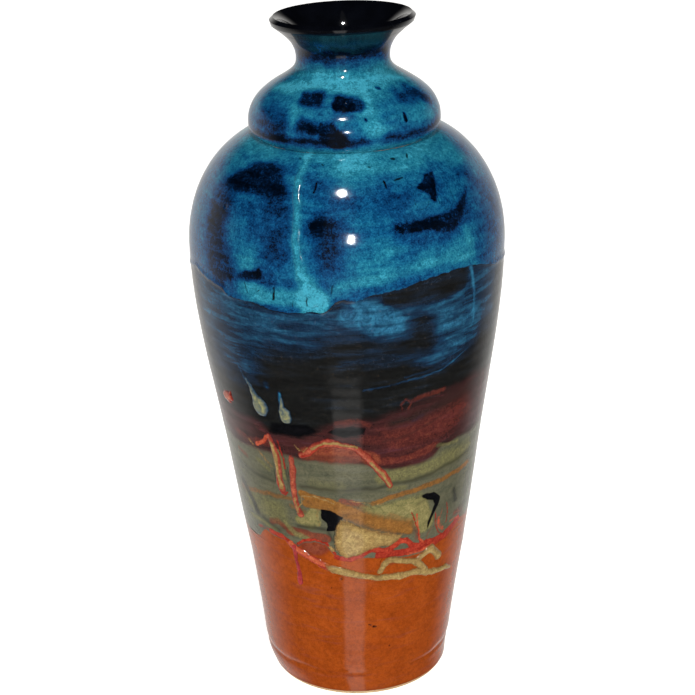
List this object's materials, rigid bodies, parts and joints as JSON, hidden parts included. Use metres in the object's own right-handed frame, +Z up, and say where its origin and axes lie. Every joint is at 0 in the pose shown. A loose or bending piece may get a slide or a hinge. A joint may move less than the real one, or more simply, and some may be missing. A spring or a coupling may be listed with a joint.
{
  "type": "stoneware vase",
  "caption": "Wheel-thrown stoneware vase with a round shoulder, a bulged collar and a flared lip, glazed in colour bands with raised runs and trails.",
  "frame": {"origin": "centre of the vase at the plane that its foot ring stands on", "axes": "+Z up along the axis that the vase was thrown on, -Y towards the decorated front, +X to the right of someone who looks at the front"},
  "size_m": [0.1592, 0.1592, 0.3549],
  "materials": {
    "stoneware": "matte",
    "black_glaze": "gloss",
    "blue_glaze": "gloss",
    "night_glaze": "gloss",
    "sunset_glaze": "gloss",
    "terracotta_glaze": "gloss",
    "turquoise_glaze": "gloss",
    "straw_glaze": "gloss",
    "ember_glaze": "gloss",
    "cream_glaze": "satin",
    "crimson_glaze": "gloss"
  },
  "bodies": {
    "root": {"foot_base": "stoneware", "lower_wall": "stoneware", "belly_wall": "stoneware", "shoulder": "stoneware", "collar": "stoneware", "neck_and_lip": "stoneware", "liner_glaze": "black_glaze", "collar_glaze": "blue_glaze", "shoulder_glaze": "blue_glaze", "night_glaze": "night_glaze", "sunset_glaze": "sunset_glaze", "terracotta_glaze": "terracotta_glaze", "turquoise_run": "turquoise_glaze", "left_straw_drip": "straw_glaze", "right_straw_drip": "straw_glaze", "left_ember_run": "ember_glaze", "middle_ember_run": "ember_glaze", "ember_arc": "ember_glaze", "ember_pool": "ember_glaze", "cream_pool": "cream_glaze", "long_trail": "cream_glaze", "forked_trail": "cream_glaze", "hooked_trail": "cream_glaze", "crimson_drip": "crimson_glaze"}
  },
  "joints": []
}
